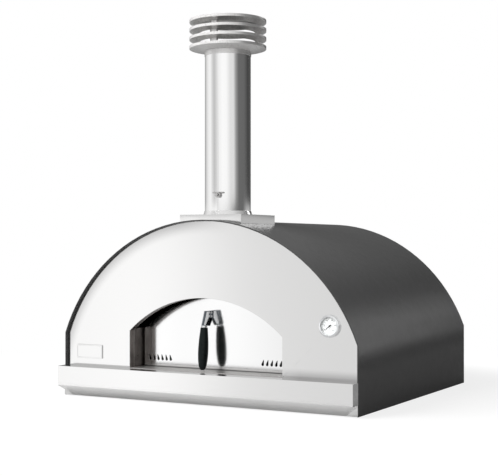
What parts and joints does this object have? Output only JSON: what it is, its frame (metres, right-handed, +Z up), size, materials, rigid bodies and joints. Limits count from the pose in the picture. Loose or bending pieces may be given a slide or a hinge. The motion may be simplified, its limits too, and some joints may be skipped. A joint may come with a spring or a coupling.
{
  "type": "portable pizza oven",
  "caption": "Vaulted outdoor pizza oven with an insulated baking chamber, a lift-out arched door, a dial thermometer, a front shelf and a damped flue under a stacked-ring cap.",
  "frame": {"origin": "centre of the footprint, on the surface that the oven stands on", "axes": "+Z up, +Y from the mouth to the back, +X to the right seen from the front"},
  "size_m": [1.07, 1.007, 1.237],
  "materials": {
    "casing_paint": "fine-textured anthracite heat-resistant paint",
    "brushed_stainless": "satin stainless sheet",
    "polished_stainless": "bright-annealed stainless sheet, near mirror",
    "galvanised_steel": "galvanised sheet",
    "chamber_steel": "plain rolled steel",
    "sooted_steel": "heat-darkened steel",
    "insulation": "mineral-fibre blanket and board",
    "firebrick": "unglazed refractory tile",
    "chrome_plate": "polished chrome",
    "zinc_plate": "bright zinc plating",
    "dial_enamel": "white enamel",
    "needle_paint": "matt black paint",
    "dial_glass": "clear flat glass",
    "grip_resin": "black heat-resistant phenolic resin"
  },
  "bodies": {
    "oven": {"base_tray": "galvanised_steel", "vault_shell": "casing_paint", "front_panel": "brushed_stainless", "rear_panel": "casing_paint", "front_shelf": "brushed_stainless", "floor_insulation": "insulation", "vault_insulation": "insulation", "front_insulation": "insulation", "rear_insulation": "insulation", "chamber_vault": "chamber_steel", "chamber_front_wall": "chamber_steel", "chamber_rear_wall": "chamber_steel", "hearth_tile_1": "firebrick", "hearth_tile_2": "firebrick", "hearth_tile_3": "firebrick", "hearth_tile_4": "firebrick", "hearth_tile_5": "firebrick", "hearth_tile_6": "firebrick", "mouth_sill": "brushed_stainless", "mouth_jamb_left": "sooted_steel", "mouth_jamb_right": "sooted_steel", "door_stop_left": "sooted_steel", "door_stop_right": "sooted_steel", "flue_spigot": "galvanised_steel", "flue_plinth": "brushed_stainless", "thermometer_case": "chrome_plate", "thermometer_stem": "chrome_plate", "thermometer_bezel": "chrome_plate", "thermometer_dial": "dial_enamel", "thermometer_glass": "dial_glass", "thermometer_nut": "zinc_plate"},
    "needle": {"thermometer_needle": "needle_paint"},
    "flue": {"flue_foot_ring": "polished_stainless", "flue_pipe": "polished_stainless", "cap_collar": "polished_stainless", "cap_ring_1": "polished_stainless", "cap_ring_2": "polished_stainless", "cap_ring_3": "polished_stainless", "cap_ring_4": "polished_stainless", "cap_disc": "polished_stainless", "cap_strap_1": "polished_stainless", "cap_strap_2": "polished_stainless", "cap_strap_3": "polished_stainless"},
    "damper": {"damper_plate": "chamber_steel", "damper_spindle": "zinc_plate", "damper_knob": "zinc_plate"},
    "door": {"door_skin": "polished_stainless", "door_backing": "chamber_steel", "door_insulation": "insulation", "door_foot": "polished_stainless", "handle_bracket": "polished_stainless", "handle_screw_upper": "zinc_plate", "handle_screw_lower": "zinc_plate", "handle_tang": "zinc_plate", "handle_ferrule": "chrome_plate", "handle_grip": "grip_resin"}
  },
  "joints": [
    {"name": "door_slide", "type": "slide", "parent": "oven", "child": "door", "axis": [0, -1, 0], "range_m": [0, 0.25]},
    {"name": "flue_lift", "type": "slide", "parent": "oven", "child": "flue", "axis": [0, 0, 1], "range_m": [0, 0.06]},
    {"name": "damper_turn", "type": "hinge", "parent": "flue", "child": "damper", "pos_m": [0, -0.2965, 0.663], "axis": [0.1392, -0.9903, 0], "range_deg": [0, 90]},
    {"name": "needle_turn", "type": "hinge", "parent": "oven", "child": "needle", "pos_m": [0.43894, -0.4525, 0.2617], "axis": [0, 1, 0], "range_deg": [0, 270], "stiffness_Nm_per_rad": 0.0005}
  ]
}
